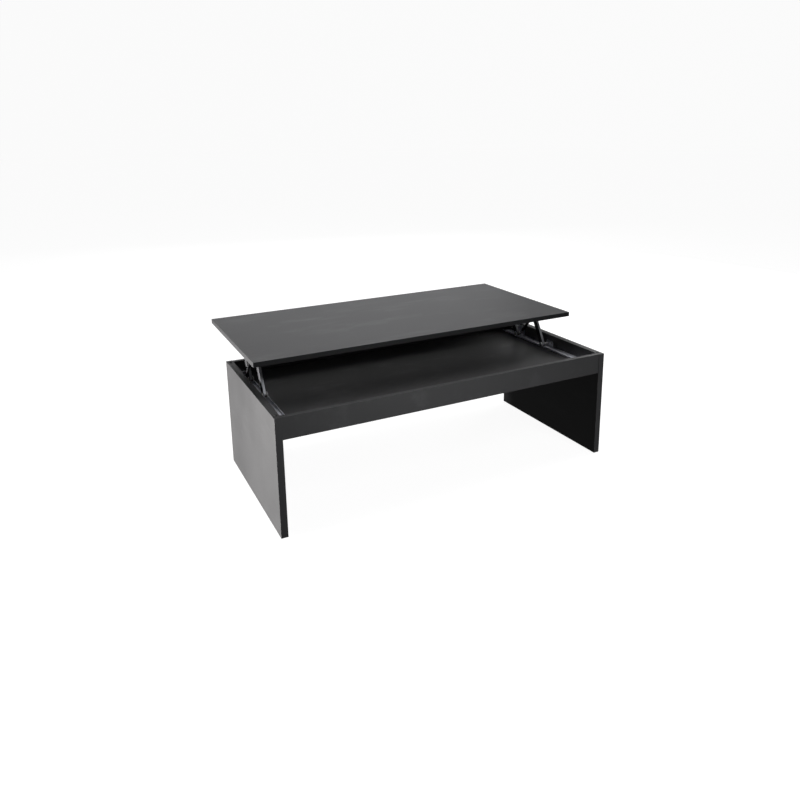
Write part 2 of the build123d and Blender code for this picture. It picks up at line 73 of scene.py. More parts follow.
class Wire:
    """What comes out of a shader node, so that sums can be written with it."""

    def __init__(self, finish, socket):
        self.finish = finish
        self.socket = socket

    def sum_of(self, operation, first, second):
        return self.finish.node("ShaderNodeMath", {"operation": operation}, {0: first, 1: second})

    def __add__(self, other):
        return self.sum_of("ADD", self, other)

    def __radd__(self, other):
        return self.sum_of("ADD", other, self)

    def __sub__(self, other):
        return self.sum_of("SUBTRACT", self, other)

    def __rsub__(self, other):
        return self.sum_of("SUBTRACT", other, self)

    def __mul__(self, other):
        return self.sum_of("MULTIPLY", self, other)

    def __rmul__(self, other):
        return self.sum_of("MULTIPLY", other, self)


class Finish:
    """A surface finish being mixed, with its one principled shader."""

    def __init__(self, name, **constants):
        self.material = bpy.data.materials.new(name)
        self.material.use_nodes = True
        self.nodes = self.material.node_tree.nodes
        self.links = self.material.node_tree.links
        self.shader = self.nodes["Principled BSDF"]
        for socket, value in constants.items():
            self.shader.inputs[socket.replace("_", " ")].default_value = value
        self.place = self.node("ShaderNodeTexCoord", {}, {}, "Object")

    def node(self, kind, settings, inputs, output=0):
        """Adds a node: its settings first, then its sockets' values or wires."""
        made = self.nodes.new(kind)
        for name, value in settings.items():
            setattr(made, name, value)
        for name, value in inputs.items():
            self.feed(made.inputs[name], value)
        return Wire(self, made.outputs[output])

    def feed(self, socket, value):
        if isinstance(value, Wire):
            self.links.new(value.socket, socket)
        else:
            socket.default_value = value

    def shade(self, **wires):
        """Joins wires to the shader's sockets."""
        for name, wire in wires.items():
            self.feed(self.shader.inputs[name.replace("_", " ")], wire)

    def noise(self, scale, detail=3.0, roughness=0.55, stretch=(1, 1, 1)):
        """Noise from 0 to 1, scale spots to the metre, drawn out by stretch."""
        where = self.place
        if stretch != (1, 1, 1):
            where = self.node("ShaderNodeMapping", {}, {"Vector": where, "Scale": stretch})
        inputs = {"Vector": where, "Scale": scale, "Detail": detail, "Roughness": roughness}
        return self.node("ShaderNodeTexNoise", {}, inputs)

    def spots(self, scale):
        """Distance from the nearest of many scattered points, for grains and pores."""
        return self.node("ShaderNodeTexVoronoi", {}, {"Vector": self.place, "Scale": scale})

    def ramp(self, wire, low, high):
        """wire brought to 0 at low and 1 at high, smoothly."""
        inputs = {"Value": wire, "From Min": low, "From Max": high}
        return self.node("ShaderNodeMapRange", {"interpolation_type": "SMOOTHSTEP"}, inputs)

    def blend(self, share, first, second):
        """first where share is 0, second where it is 1. Both are colours."""
        inputs = {0: share, 6: first, 7: second}
        return self.node("ShaderNodeMix", {"data_type": "RGBA"}, inputs, 2)

    def bump(self, height, distance, strength=1.0):
        """A bump of height, distance metres deep."""
        inputs = {"Height": height, "Distance": distance, "Strength": strength}
        return self.node("ShaderNodeBump", {}, inputs)

    def worn_edges(self, width):
        """1 along sharp edges and 0 on the flat, from how far the normal rounds off."""
        rounded = self.node("ShaderNodeBevel", {"samples": 6}, {"Radius": width})
        true = self.node("ShaderNodeNewGeometry", {}, {}, "Normal")
        inputs = {0: rounded, 1: true}
        match = self.node("ShaderNodeVectorMath", {"operation": "DOT_PRODUCT"}, inputs, "Value")
        return self.ramp(1 - match, low=0.02, high=0.25)

    def upward(self):
        """1 on faces that look up and 0 on those that don't, for settled dust."""
        true = self.node("ShaderNodeNewGeometry", {}, {}, "Normal")
        height = self.node("ShaderNodeSeparateXYZ", {}, {0: true}, "Z")
        return self.ramp(height, low=0.6, high=0.95)

    def sideways(self):
        """1 on faces that look left or right and 0 on those that look along or up."""
        true = self.node("ShaderNodeNewGeometry", {}, {}, "Normal")
        across = self.node("ShaderNodeSeparateXYZ", {}, {0: true}, "X")
        size = self.node("ShaderNodeMath", {"operation": "ABSOLUTE"}, {0: across})
        return self.ramp(size, low=0.10, high=0.45)


def paint(nodes, finish):
    """Gives CAD nodes a finish."""
    for name in nodes:
        slots = frame["nodes"][name].data.materials
        slots.clear()
        slots.append(finish.material)


wiped_tone = (0.085, 0.086, 0.090, 1)
dust_tone = (0.22, 0.215, 0.205, 1)
wiped_share = 0.14
dust_share = 0.35
melamine_grain_depth = 0.00005


def charcoal(name, dark, light, gloss, rub_stretch):
    """Charcoal melamine: pearl grain, faint clouding, wiped streaks, a little dust."""
    melamine = Finish(name, IOR=1.5)
    cloud = melamine.noise(scale=5.0, detail=4.0)
    pearl = melamine.noise(scale=1100.0, detail=2.0)
    pore = melamine.ramp(melamine.spots(scale=420.0), low=0.05, high=0.30)
    streaks = melamine.noise(scale=11.0, detail=6.0, roughness=0.68, stretch=rub_stretch)
    wiped = melamine.ramp(streaks, low=0.50, high=0.74)
    specks = melamine.ramp(melamine.noise(scale=700.0, detail=1.0), low=0.70, high=0.78)
    settled = melamine.ramp(cloud, low=0.42, high=0.62)
    shade = melamine.ramp(0.55 * cloud + 0.45 * pearl, low=0.32, high=0.68)
    colour = melamine.blend(shade, dark, light)
    colour = melamine.blend(wiped_share * wiped, colour, wiped_tone)
    colour = melamine.blend(dust_share * specks * melamine.upward() * settled, colour, dust_tone)
    grain = 0.55 * pearl + 0.45 * pore
    melamine.shade(
        Base_Color=colour,
        Roughness=gloss + 0.08 * cloud + 0.05 * pearl - 0.06 * wiped,
        Normal=melamine.bump(grain, melamine_grain_depth, strength=0.5),
    )
    return melamine


board = charcoal(
    "charcoal_melamine",
    dark=(0.0240, 0.0241, 0.0252, 1),
    light=(0.0315, 0.0317, 0.0330, 1),
    gloss=0.42,
    rub_stretch=(1.0, 0.35, 1.0),
)
paint(["side_panel_left", "side_panel_right"], board)

# ---------------------------------------------------------------------------
# Edge bands of the base. Strips of 1 mm plastic in the boards' colour, glued
# on with a hot melt and trimmed to a small radius that catches the light.
# ---------------------------------------------------------------------------
band_worn_tone = (0.12, 0.12, 0.125, 1)
band_worn_share = 0.35
band_worn_width = 0.0008
band_chatter_depth = 0.00003


def edge_band(name, dark, light, gloss, ior):
    """A plastic edge strip with trimming chatter across it and pale worn corners."""
    band = Finish(name, IOR=ior)
    tone = band.noise(scale=60.0, detail=3.0, roughness=0.6)
    scuff = band.ramp(band.noise(scale=240.0, detail=5.0, roughness=0.7), low=0.60, high=0.78)
    chatter = band.noise(scale=900.0, detail=1.0, roughness=0.4, stretch=(1.0, 1.0, 0.25))
    patches = band.ramp(band.noise(scale=45.0, detail=4.0), low=0.42, high=0.72)
    worn = band.worn_edges(band_worn_width) * patches
    colour = band.blend(tone, dark, light)
    colour = band.blend(band_worn_share * worn, colour, band_worn_tone)
    band.shade(
        Base_Color=colour,
        Roughness=gloss + 0.10 * tone + 0.10 * scuff,
        Normal=band.bump(chatter, band_chatter_depth, strength=0.35),
    )
    return band


base_band = edge_band(
    "charcoal_edge_band",
    dark=(0.0240, 0.0242, 0.0255, 1),
    light=(0.0310, 0.0313, 0.0330, 1),
    gloss=0.40,
    ior=1.48,
)
paint(
    [
        "side_panel_edging_left",
        "side_panel_edging_right",
        "front_rail_edging",
        "rear_rail_edging",
        "lid_edging_left",
        "lid_edging_right",
    ],
    base_band,
)

# ---------------------------------------------------------------------------
# Rails and tray bottom. 16 mm boards of the same charcoal melamine, dowelled
# and cammed between the side panels. The tray's floor is scuffed by use, and
# its board is painted much darker than the others as painted shade.
# ---------------------------------------------------------------------------
paint(["front_rail", "rear_rail"], board)
# Painted shade: the tray's floor is a much darker copy of the charcoal board.
tray_board_painted_shade = charcoal(
    "charcoal_melamine_tray_painted_shade",
    dark=(0.0085, 0.0086, 0.0091, 1),
    light=(0.0125, 0.0127, 0.0134, 1),
    gloss=0.50,
    rub_stretch=(0.4, 1.0, 1.0),
)
paint(["tray_bottom"], tray_board_painted_shade)

# ---------------------------------------------------------------------------
# Lifting top. One 16 mm charcoal board as long and as deep as the base, wiped
# along its length and a little glossier. Its long edges are painted much darker
# than its ends, as painted shade.
# ---------------------------------------------------------------------------
lid_board = charcoal(
    "charcoal_melamine_top",
    dark=(0.0245, 0.0247, 0.0260, 1),
    light=(0.0330, 0.0333, 0.0348, 1),
    gloss=0.40,
    rub_stretch=(0.3, 1.0, 1.0),
)
paint(["lid_panel"], lid_board)
# Painted shade: the lid's long edges get a much darker, less reflective copy of the edge band.
lid_band_painted_shade = edge_band(
    "charcoal_edge_band_top_painted_shade",
    dark=(0.0060, 0.0062, 0.0070, 1),
    light=(0.0095, 0.0098, 0.0110, 1),
    gloss=0.46,
    ior=1.26,
)
paint(["lid_edging_front", "lid_edging_rear"], lid_band_painted_shade)

# ---------------------------------------------------------------------------
# Dowels and cam bolts. Fluted beech pegs and plated bolts, all of them inside
# the boards.
# ---------------------------------------------------------------------------
beech_dark = (0.42, 0.26, 0.14, 1)
beech_light = (0.60, 0.42, 0.26, 1)
beech_fleck_depth = 0.00015
beech = Finish("raw_beech", IOR=1.45)
beech_fleck = beech.noise(scale=500.0, detail=3.0, roughness=0.6, stretch=(0.12, 1.0, 1.0))
beech_tone = beech.noise(scale=40.0, detail=3.0)
beech_shade = beech.ramp(0.6 * beech_fleck + 0.4 * beech_tone, low=0.35, high=0.65)
beech.shade(
    Base_Color=beech.blend(beech_shade, beech_dark, beech_light),
    Roughness=0.62 + 0.15 * beech_fleck,
    Normal=beech.bump(beech_fleck, beech_fleck_depth, strength=0.6),
)
paint(["side_dowels", "rail_dowels"], beech)

bare_metal = (0.62, 0.62, 0.63, 1)
metal_worn_width = 0.0004
metal_skin_depth = 0.00003


def die_cast(name, dark, light, gloss, wear=0.6):
    """Dull cast or plated metal: blotchy, with a fine sandy skin and bright edges."""
    cast = Finish(name, Metallic=1.0)
    blotch = cast.noise(scale=160.0, detail=4.0, roughness=0.6)
    skin = cast.noise(scale=2600.0, detail=2.0)
    worn = cast.worn_edges(metal_worn_width)
    colour = cast.blend(cast.ramp(blotch, low=0.3, high=0.7), dark, light)
    colour = cast.blend(wear * worn, colour, bare_metal)
    cast.shade(
        Base_Color=colour,
        Roughness=gloss + 0.18 * blotch - 0.1 * worn,
        Normal=cast.bump(skin, metal_skin_depth, strength=0.5),
    )
    return cast


cam_alloy = die_cast(
    "die_cast_cam", dark=(0.30, 0.30, 0.31, 1), light=(0.44, 0.44, 0.45, 1), gloss=0.36
)
paint(["rail_cam_bolts", "tray_cam_bolts", "rail_cam_locks"], cam_alloy)

# ---------------------------------------------------------------------------
# Cam locks under the tray. 15 mm zinc castings pressed into the board's
# underside, each with a rolled rim and a cross for the driver.
# ---------------------------------------------------------------------------
cam_sides = 32
cam_bevel = 0.0002
cam_rim_round = 0.0004
cam_rim_start = 0.0010
cam_rim_shoulder = 0.0003
cam_rim_width = 0.0014
cam_face_inset = 0.0018
cam_face_sink = 0.0006
cross_length = 0.0072
cross_width = 0.0018
cross_depth = 0.0026
cross_taper = 0.55
cam_first_turn = math.radians(20)
cam_right_turn = math.radians(70)
level_normal = 0.9
smooth_up_to = math.radians(35)
weld_digits = 6


def turned(name, steps, sides):
    """A solid turned about Z from (height, radius) steps, by extruding a disc."""
    bpy.ops.object.select_all(action="DESELECT")
    height, radius = steps[0]
    bpy.ops.mesh.primitive_circle_add(
        vertices=sides, radius=radius, fill_type="NGON", location=(0, 0, height)
    )
    solid = bpy.context.object
    solid.name = name
    bpy.ops.object.mode_set(mode="EDIT")
    bpy.ops.mesh.select_all(action="SELECT")
    for next_height, next_radius in steps[1:]:
        rise = {"value": (0, 0, next_height - height)}
        bpy.ops.mesh.extrude_region_move(TRANSFORM_OT_translate=rise)
        growth = next_radius / radius
        bpy.ops.transform.resize(value=(growth, growth, 1), center_override=(0, 0, next_height))
        height, radius = next_height, next_radius
    bpy.ops.mesh.select_all(action="SELECT")
    bpy.ops.mesh.normals_make_consistent(inside=False)
    bpy.ops.object.mode_set(mode="OBJECT")
    bpy.ops.object.transform_apply(location=True, rotation=True, scale=True)
    return solid


def cut_cross(solid, top, length, width, depth):
    """Cuts a driver's cross, depth deep, into a turned solid's upper face at top."""
    for turn in (0, math.pi / 2):
        bpy.ops.object.select_all(action="DESELECT")
        bpy.ops.mesh.primitive_cube_add(size=1, location=(0, 0, top), rotation=(0, 0, turn))
        blade = bpy.context.object
        blade.scale = (length, width, 2 * depth)
        bpy.ops.object.transform_apply(location=True, rotation=True, scale=True)
        bpy.ops.object.mode_set(mode="EDIT")
        bpy.ops.mesh.select_all(action="DESELECT")
        bpy.ops.object.mode_set(mode="OBJECT")
        for face in blade.data.polygons:
            face.select = face.normal.z < -level_normal
        bpy.ops.object.mode_set(mode="EDIT")
        taper = (cross_taper, cross_taper, 1)
        bpy.ops.transform.resize(value=taper, center_override=(0, 0, top - depth))
        bpy.ops.object.mode_set(mode="OBJECT")
        cut = solid.modifiers.new("cross", "BOOLEAN")
        cut.operation = "DIFFERENCE"
        cut.object = blade
        bpy.ops.object.select_all(action="DESELECT")
        bpy.context.view_layer.objects.active = solid
        bpy.ops.object.modifier_apply(modifier="cross")
        bpy.data.objects.remove(blade)


def finished(solid, finish):
    """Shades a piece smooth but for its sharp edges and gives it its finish."""
    bpy.ops.object.select_all(action="DESELECT")
    solid.select_set(True)
    bpy.context.view_layer.objects.active = solid
    bpy.ops.object.shade_smooth_by_angle(angle=smooth_up_to)
    solid.data.materials.clear()
    solid.data.materials.append(finish.material)


def copies(pattern, name, places, body, node):
    """Copies a finished pattern to each place, riding body and standing for node."""
    for number, place in enumerate(places, 1):
        piece = pattern.copy()
        piece.data = pattern.data.copy()
        piece.name = f"{name}_{number}"
        bpy.context.collection.objects.link(piece)
        piece.data.transform(place)
        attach(piece, body)
        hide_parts(node)


def islands(node):
    """The box of each separate solid in a CAD node, as (lowest, highest) corners."""
    mesh = frame["nodes"][node].data
    parent = list(range(len(mesh.vertices)))

    def root(i):
        while parent[i] != i:
            parent[i] = parent[parent[i]]
            i = parent[i]
        return i

    seen = {}
    for vertex in mesh.vertices:
        key = tuple(round(c, weld_digits) for c in vertex.co)
        parent[root(vertex.index)] = root(seen.setdefault(key, vertex.index))
    for edge in mesh.edges:
        parent[root(edge.vertices[0])] = root(edge.vertices[1])
    groups = {}
    for vertex in mesh.vertices:
        groups.setdefault(root(vertex.index), []).append(vertex.co)
    boxes = []
    for points in groups.values():
        low = Vector(min(p[i] for p in points) for i in range(3))
        high = Vector(max(p[i] for p in points) for i in range(3))
        boxes.append((low, high))
    return sorted(boxes, key=lambda box: tuple(box[0]))


cam_box = islands("tray_cam_locks")[0]
cam_radius = (cam_box[1].x - cam_box[0].x) / 2
cam_height = cam_box[1].z - cam_box[0].z
cam_face = cam_height - cam_face_sink
cam_steps = [
    (0.0, cam_radius - cam_bevel),
    (cam_bevel, cam_radius),
    (cam_height - cam_rim_start, cam_radius),
    (cam_height - cam_rim_shoulder, cam_radius),
    (cam_height, cam_radius - cam_rim_round),
    (cam_height, cam_radius - cam_rim_width),
    (cam_face, cam_radius - cam_face_inset),
]
cam = turned("cam", cam_steps, cam_sides)
cut_cross(cam, cam_face, cross_length, cross_width, cross_depth)
finished(cam, cam_alloy)
facing_down = Matrix.Rotation(math.pi, 4, "X")
cam_places = []
for low, high in islands("tray_cam_locks"):
    middle = Vector(((low.x + high.x) / 2, (low.y + high.y) / 2, high.z))
    cam_turn = cam_first_turn + cam_right_turn * (low.x > 0)
    driven = Matrix.Rotation(cam_turn, 4, "Z")
    cam_places.append(Matrix.Translation(middle) @ driven @ facing_down)
copies(cam, "tray_cam_lock", cam_places, "base", "tray_cam_locks")
bpy.data.objects.remove(cam)

# ---------------------------------------------------------------------------
# Cam covers. Thin moulded caps stuck over the rails' cams, in the boards'
# colour.
# ---------------------------------------------------------------------------
plastic_worn_width = 0.0005
plastic_worn_share = 0.25


def moulded(name, dark, light, gloss, grain, depth):
    """Moulded plastic or rubber: even colour, a spark-eroded skin, polished edges."""
    plastic = Finish(name, IOR=1.48)
    tone = plastic.noise(scale=90.0, detail=3.0)
    skin = plastic.noise(scale=grain, detail=2.0, roughness=0.6)
    worn = plastic.worn_edges(plastic_worn_width)
    shade = plastic.ramp(0.7 * tone + 0.3 * skin, low=0.35, high=0.65)
    colour = plastic.blend(shade, dark, light)
    plastic.shade(
        Base_Color=plastic.blend(plastic_worn_share * worn, colour, light),
        Roughness=gloss + 0.12 * tone - 0.10 * worn,
        Normal=plastic.bump(skin, depth, strength=0.6),
    )
    return plastic


cap_plastic = moulded(
    "charcoal_cap_plastic",
    dark=(0.024, 0.025, 0.028, 1),
    light=(0.036, 0.037, 0.041, 1),
    gloss=0.46,
    grain=1800.0,
    depth=0.00003,
)
paint(["rail_cam_covers"], cap_plastic)

# ---------------------------------------------------------------------------
# Glides. Black polyethylene buttons nailed up into the side panels' lower
# edges, with a dished tread and the nail's head sunk in the middle.
# ---------------------------------------------------------------------------
glide_plastic = moulded(
    "black_polyethylene",
    dark=(0.018, 0.018, 0.019, 1),
    light=(0.034, 0.034, 0.035, 1),
    gloss=0.38,
    grain=900.0,
    depth=0.00004,
)
glide_sides = 32
glide_tread = 0.0020
glide_round = 0.0004
glide_round_start = 0.0012
glide_round_end = 0.0018
glide_tread_inset = 0.0012
glide_ring_inset = 0.0036
glide_dish_inset = 0.0042
glide_dish_sink = 0.0005
glide_well_rim = 0.0058
glide_well_inset = 0.0060
glide_well_sink = 0.0009
nail_head_sink = 0.0007
nail_head_radius = 0.0012
glide_boxes = islands("foot_glides")
glide_radius = (glide_boxes[0][1].x - glide_boxes[0][0].x) / 2
nail_radius = 0.0012
nail_length = glide_boxes[0][1].z - glide_boxes[0][0].z - glide_tread
glide_steps = [
    (-nail_length, nail_radius),
    (0.0, nail_radius),
    (0.0, glide_radius - glide_round),
    (glide_round, glide_radius),
    (glide_round_start, glide_radius),
    (glide_round_end, glide_radius - glide_round),
    (glide_tread, glide_radius - glide_tread_inset),
    (glide_tread, glide_radius - glide_ring_inset),
    (glide_tread - glide_dish_sink, glide_radius - glide_dish_inset),
    (glide_tread - glide_dish_sink, glide_radius - glide_well_rim),
    (glide_tread - glide_well_sink, glide_radius - glide_well_inset),
    (glide_tread - nail_head_sink, nail_head_radius),
]
glide = turned("glide", glide_steps, glide_sides)
finished(glide, glide_plastic)
glide_places = []
for low, high in glide_boxes:
    middle = Vector(((low.x + high.x) / 2, (low.y + high.y) / 2, low.z + glide_tread))
    glide_places.append(Matrix.Translation(middle) @ facing_down)
copies(glide, "foot_glide", glide_places, "base", "foot_glides")
bpy.data.objects.remove(glide)

# ---------------------------------------------------------------------------
# Bumpers and stop sleeves. Black rubber: four stick-on dots that the closed
# top lands on, and a sleeve on each stop pin for the rear arm to lean on.
# ---------------------------------------------------------------------------
rubber = moulded(
    "black_rubber",
    dark=(0.010, 0.010, 0.010, 1),
    light=(0.020, 0.020, 0.020, 1),
    gloss=0.66,
    grain=700.0,
    depth=0.00005,
)
paint(["lid_bumpers", "stop_sleeves"], rubber)

# ---------------------------------------------------------------------------
# Base plates and lid brackets. 1.5 mm steel sheet, punched, bent and zinc
# plated: cool grey, rolled lines along the strip, cleaner at the cut edges.
# ---------------------------------------------------------------------------
side_shade_tone = (0.030, 0.030, 0.032, 1)
stain_share = 0.35
zinc_worn_share = 0.7
zinc_worn_width = 0.0005
rolling_depth = 0.00003


def zinc_plate(name, dark, light, bright, gloss, side_shade=0.0):
    """Zinc plating on rolled sheet: clouded, streaked, bright at its edges, with painted shade on
    faces that look sideways.
    """
    zinc = Finish(name, Metallic=1.0)
    cloud = zinc.noise(scale=38.0, detail=4.0, roughness=0.6)
    rolled = zinc.noise(scale=520.0, detail=2.0, roughness=0.5, stretch=(1.0, 0.05, 1.0))
    stain = zinc.ramp(zinc.noise(scale=70.0, detail=6.0, roughness=0.7), low=0.55, high=0.75)
    worn = zinc.worn_edges(zinc_worn_width)
    # Painted shade: faces that look left or right are darkened, and roughened, by this mask.
    side_shade_mask = side_shade * zinc.sideways()
    shade = zinc.ramp(0.7 * cloud + 0.3 * rolled, low=0.3, high=0.7)
    colour = zinc.blend(shade, dark, light)
    colour = zinc.blend(stain_share * stain, colour, dark)
    colour = zinc.blend(zinc_worn_share * worn, colour, bright)
    colour = zinc.blend(side_shade_mask, colour, side_shade_tone)
    clouding = 0.14 * cloud + 0.06 * rolled + 0.08 * stain
    zinc.shade(
        Base_Color=colour,
        Roughness=gloss + clouding - 0.10 * worn + 0.24 * side_shade_mask,
        Normal=zinc.bump(rolled, rolling_depth, strength=0.35),
    )
    return zinc


plate_zinc = zinc_plate(
    "zinc_plated_sheet",
    dark=(0.60, 0.61, 0.66, 1),
    light=(0.76, 0.77, 0.82, 1),
    bright=(0.86, 0.87, 0.90, 1),
    gloss=0.42,
)
paint(["base_plate_left", "base_plate_right", "lid_bracket_left", "lid_bracket_right"], plate_zinc)

# ---------------------------------------------------------------------------
# Lift arms. Four pressed channels of 2 mm steel, zinc plated like the plates
# but painted much darker as painted shade, their side-facing webs darker still
# as painted shade, with a bronze bearing sleeve at each end.
# ---------------------------------------------------------------------------
# Painted shade: the arms' zinc is a much darker copy of the plates' zinc.
arm_zinc_painted_shade = zinc_plate(
    "zinc_plated_arm_painted_shade",
    dark=(0.21, 0.214, 0.225, 1),
    light=(0.30, 0.305, 0.32, 1),
    bright=(0.42, 0.43, 0.45, 1),
    gloss=0.34,
    side_shade=0.9,
)
paint(["front_arm_left", "front_arm_right", "rear_arm_left", "rear_arm_right"], arm_zinc_painted_shade)
bronze = die_cast(
    "sintered_bronze", dark=(0.30, 0.19, 0.09, 1), light=(0.42, 0.29, 0.15, 1), gloss=0.40
)
paint(["front_arm_sleeves", "rear_arm_sleeves"], bronze)

# ---------------------------------------------------------------------------
# Washers. Natural nylon rings each side of an arm, a little yellowed.
# ---------------------------------------------------------------------------
nylon = moulded(
    "natural_nylon",
    dark=(0.42, 0.40, 0.34, 1),
    light=(0.60, 0.58, 0.52, 1),
    gloss=0.40,
    grain=900.0,
    depth=0.00002,
)
paint(["base_pivot_washers", "lid_pivot_washers"], nylon)

# ---------------------------------------------------------------------------
# Pivot and stop pins. 8 mm turned steel with a shoulder on the arm's outer
# side, riveted over in a dome on the inner face of the plate's ear.
# ---------------------------------------------------------------------------
pin_sides = 32
pin_radius = 0.0040
pin_head_radius = 0.0065
pin_head_height = 0.0020
washer_stack = 0.0020
shoulder_width = 0.0020
keeper_radius = 0.0060
keeper_thickness = 0.0012
keeper_round = 0.0006
keeper_round_start = 0.0004
keeper_face_radius = 0.0030
keeper_hollow_radius = 0.0026
pin_bevel = 0.0003
short_pin_bevel_start = 0.0002
rivet_dome = [(0.0, 0.0022), (0.0002, 0.0040), (0.0007, 0.0055), (0.0014, 0.0063)]
turned_steel = die_cast(
    "turned_steel", dark=(0.30, 0.30, 0.31, 1), light=(0.43, 0.43, 0.44, 1), gloss=0.30
)
paint(["stop_pins"], turned_steel)
rivet_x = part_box("lid_pivot_pins_right")[0][0]
shoulder_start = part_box("front_arm_right")[1][0] + washer_stack - rivet_x
shoulder_end = shoulder_start + shoulder_width
rivet_steps = rivet_dome + [
    (pin_head_height, pin_head_radius),
    (pin_head_height, pin_radius),
    (shoulder_start, pin_radius),
    (shoulder_start, pin_head_radius),
    (shoulder_end - pin_bevel, pin_head_radius),
    (shoulder_end, pin_head_radius - pin_bevel),
]


def pin(name, steps):
    """A finished pin that points up Z from its rivet head at the origin."""
    made = turned(name, rivet_steps + steps, pin_sides)
    finished(made, turned_steel)
    return made


def along_x(box):
    """Turns a pin from up Z to outwards along X, its rivet head at the box's inner end."""
    low, high = box
    outward = 1 if low.x > 0 else -1
    inner = low.x if outward > 0 else high.x
    middle = Vector((inner, (low.y + high.y) / 2, (low.z + high.z) / 2))
    return Matrix.Translation(middle) @ Matrix.Rotation(outward * math.pi / 2, 4, "Y")


for side in ("left", "right"):
    node = f"base_pivot_pins_{side}"
    boxes = islands(node)
    reach = boxes[0][1].x - boxes[0][0].x
    base_steps = [
        (shoulder_end, pin_radius),
        (reach - pin_bevel, pin_radius),
        (reach, pin_radius - pin_bevel),
    ]
    base_pin = pin("base_pin", base_steps)
    copies(base_pin, f"base_pivot_pin_{side}", [along_x(box) for box in boxes], "base", node)
    bpy.data.objects.remove(base_pin)

    node = f"lid_pivot_pins_{side}"
    boxes = sorted(islands(node), key=lambda box: box[0].y)
    reach = boxes[0][1].x - boxes[0][0].x
    neck = reach - keeper_thickness
    spring_steps = [
        (shoulder_end, pin_radius),
        (neck, pin_radius),
        (neck, keeper_radius - pin_bevel),
        (neck + pin_bevel, keeper_radius),
        (reach - keeper_round_start, keeper_radius),
        (reach, keeper_radius - keeper_round),
        (reach, keeper_face_radius),
        (reach - pin_bevel, keeper_hollow_radius),
    ]
    spring_pin = pin("spring_pin", spring_steps)
    copies(spring_pin, f"lid_spring_pin_{side}", [along_x(boxes[0])], "lid", node)
    bpy.data.objects.remove(spring_pin)
    short_steps = [
        (shoulder_end, pin_radius),
        (shoulder_end - short_pin_bevel_start, pin_radius - pin_bevel),
    ]
    short_pin = pin("short_pin", short_steps)
    copies(short_pin, f"lid_rear_pin_{side}", [along_x(boxes[1])], "lid", node)
    bpy.data.objects.remove(short_pin)

# ---------------------------------------------------------------------------
# Screws. 3.5 mm pan heads with a cross recess, zinc plated, each driven home
# at its own angle through the plates into the boards.
# ---------------------------------------------------------------------------
screw_sides = 24
screw_radius = 0.00175
screw_head_radius = 0.0035
screw_head_height = 0.0020
screw_length = 0.0120
screw_tip_radius = 0.0003
screw_point = 0.0022
screw_head_bevel = 0.0001
screw_rim_start = 0.0003
screw_rim_end = 0.0009
screw_dome = [(0.0015, 0.0029), (0.0019, 0.0020), (screw_head_height, 0.0011)]
recess_length = 0.0038
recess_width = 0.0009
recess_depth = 0.0013
screw_steel = die_cast(
    "plated_screw", dark=(0.28, 0.28, 0.30, 1), light=(0.44, 0.44, 0.46, 1), gloss=0.28
)
screw_steps = [
    (-screw_length, screw_tip_radius),
    (-screw_length + screw_point, screw_radius),
    (0.0, screw_radius),
    (0.0, screw_head_radius - screw_head_bevel),
    (screw_rim_start, screw_head_radius),
    (screw_rim_end, screw_head_radius - screw_head_bevel),
] + screw_dome
screw_turn = math.radians(47)


def screw_places(node, way):
    """Where a node's screws go, their heads pointing way: up, down or inwards."""
    places = []
    for number, (low, high) in enumerate(islands(node)):
        middle = (low + high) / 2
        if way == "up":
            middle.z = high.z - screw_head_height
            facing = Matrix.Identity(4)
        elif way == "down":
            middle.z = low.z + screw_head_height
            facing = facing_down
        else:
            inward = -1 if middle.x > 0 else 1
            edge = low.x if inward < 0 else high.x
            middle.x = edge - inward * screw_head_height
            facing = Matrix.Rotation(inward * math.pi / 2, 4, "Y")
        driven = Matrix.Rotation(number * screw_turn, 4, "Z")
        places.append(Matrix.Translation(middle) @ facing @ driven)
    return places


screw = turned("screw", screw_steps, screw_sides)
cut_cross(screw, screw_head_height, recess_length, recess_width, recess_depth)
finished(screw, screw_steel)
for node, way, body in (
    ("base_plate_floor_screws", "up", "base"),
    ("base_plate_side_screws", "inwards", "base"),
    ("lid_bracket_screws", "down", "lid"),
):
    copies(screw, node.removesuffix("s"), screw_places(node, way), body, node)
bpy.data.objects.remove(screw)

# ---------------------------------------------------------------------------
# Springs. One on each side, close wound from 1.8 mm black oiled wire, its side
# loops hooked over the rear lower pin and the front upper pin.
# ---------------------------------------------------------------------------
wire_radius = 0.0009
coil_middle_radius = 0.0046
loop_radius = 0.0052
hook_reach = 0.0150
loop_turn = math.radians(325)
loop_points = 16
points_a_turn = 12
coil_pitch = 0.00186
wire_bend = 0.0012
spring_steel = die_cast(
    "oiled_spring_wire",
    dark=(0.008, 0.008, 0.009, 1),
    light=(0.015, 0.015, 0.016, 1),
    gloss=0.50,
    wear=0.02,
)
pivots = {joint["name"]: joint.get("pos_m") for joint in frame["record"]["behaviour"]["joints"]}


def wire_path(length):
    """Points (across, along, up) of the wire from one loop's tip to the other's."""
    points = []
    for step in range(loop_points + 1):
        angle = -math.pi / 2 - loop_turn * (1 - step / loop_points)
        points.append((0, loop_radius * math.cos(angle), loop_radius * math.sin(angle)))
    points.append((0, hook_reach - 2 * wire_bend, -coil_middle_radius))
    turns = round((length - 2 * hook_reach) / coil_pitch)
    steps = turns * points_a_turn
    for step in range(steps + 1):
        angle = 2 * math.pi * step / points_a_turn
        along = hook_reach + (length - 2 * hook_reach) * step / steps
        across = coil_middle_radius * math.sin(angle)
        points.append((across, along, -coil_middle_radius * math.cos(angle)))
    points.append((0, length - hook_reach + 2 * wire_bend, -coil_middle_radius))
    for step in range(loop_points + 1):
        angle = -math.pi / 2 + loop_turn * step / loop_points
        points.append((0, length + loop_radius * math.cos(angle), loop_radius * math.sin(angle)))
    return points


